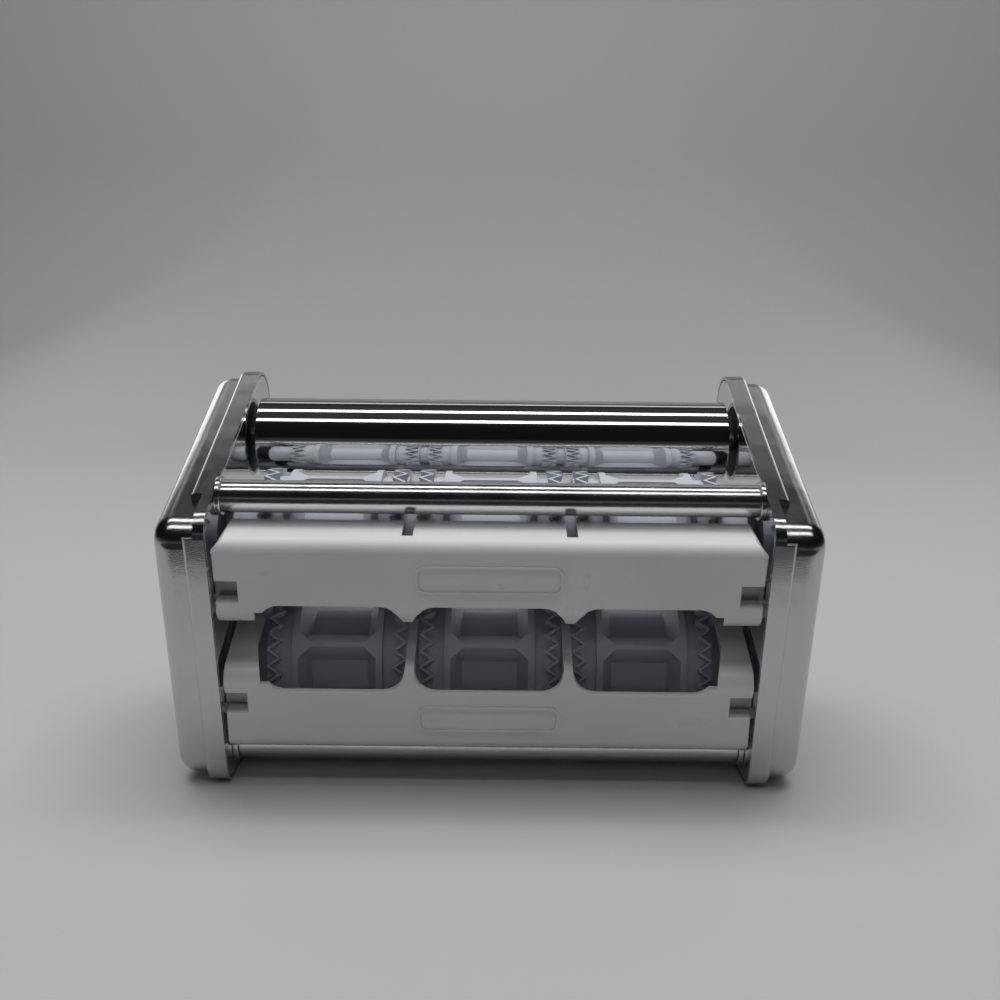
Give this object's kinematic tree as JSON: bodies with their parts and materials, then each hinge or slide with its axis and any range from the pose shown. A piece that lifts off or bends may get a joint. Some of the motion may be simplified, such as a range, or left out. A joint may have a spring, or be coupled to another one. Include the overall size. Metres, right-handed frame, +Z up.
{
  "type": "ravioli maker attachment",
  "caption": "Hand-cranked ravioli maker: chrome side casings carry geared moulding drums, guide rollers, tie rods and white stripping combs.",
  "frame": {"origin": "centre of the footprint, on the surface that the maker lies on", "axes": "+X along the drums towards the crank socket, +Y from the outlet side towards the feed side, +Z up"},
  "size_m": [0.2084, 0.1242, 0.1321],
  "materials": {
    "polished_chrome": "mirror",
    "zinc_plate": "satin",
    "turned_steel": "satin",
    "comb_plastic": "satin",
    "drum_plastic": "satin",
    "bearing_plastic": "matte"
  },
  "bodies": {
    "frame": {"left_casing": "polished_chrome", "right_casing": "polished_chrome", "left_side_plate": "polished_chrome", "right_side_plate": "polished_chrome", "left_drum_bushes": "bearing_plastic", "right_drum_bushes": "bearing_plastic", "left_casing_posts": "turned_steel", "right_casing_posts": "turned_steel", "left_casing_screws": "zinc_plate", "right_casing_screws": "zinc_plate", "upper_comb": "comb_plastic", "lower_comb": "comb_plastic", "comb_pegs": "zinc_plate", "upper_tie_rod": "zinc_plate", "lower_tie_rod": "zinc_plate", "tie_rod_washers": "zinc_plate", "tie_rod_screws": "zinc_plate", "upper_guide_axle": "turned_steel", "lower_guide_axle": "turned_steel", "guide_axle_clips": "turned_steel"},
    "lower_drum_body": {"lower_drum": "drum_plastic", "lower_drum_shaft": "turned_steel", "lower_gear": "turned_steel", "lower_drum_clips": "turned_steel", "crank_socket": "turned_steel"},
    "upper_drum_body": {"upper_drum": "drum_plastic", "upper_drum_shaft": "turned_steel", "upper_gear": "turned_steel", "upper_drum_clips": "turned_steel"},
    "lower_guide_body": {"lower_guide_tube": "polished_chrome", "lower_guide_caps": "bearing_plastic"},
    "upper_guide_body": {"upper_guide_tube": "polished_chrome", "upper_guide_caps": "bearing_plastic"}
  },
  "joints": [
    {"name": "lower_drum_spin", "type": "hinge", "parent": "frame", "child": "lower_drum_body", "pos_m": [0, -0.01145, 0.03605], "axis": [1, 0, 0], "continuous": true},
    {"name": "upper_drum_spin", "type": "hinge", "parent": "frame", "child": "upper_drum_body", "pos_m": [0, -0.02114, 0.08051], "axis": [1, 0, 0], "continuous": true},
    {"name": "lower_guide_spin", "type": "hinge", "parent": "frame", "child": "lower_guide_body", "pos_m": [0, 0.03523, 0.0262], "axis": [1, 0, 0], "continuous": true},
    {"name": "upper_guide_spin", "type": "hinge", "parent": "frame", "child": "upper_guide_body", "pos_m": [0, 0.01722, 0.10887], "axis": [1, 0, 0], "continuous": true}
  ],
  "couplings": [
    {"joint": "upper_drum_spin", "follows": "lower_drum_spin", "ratio": -1}
  ]
}
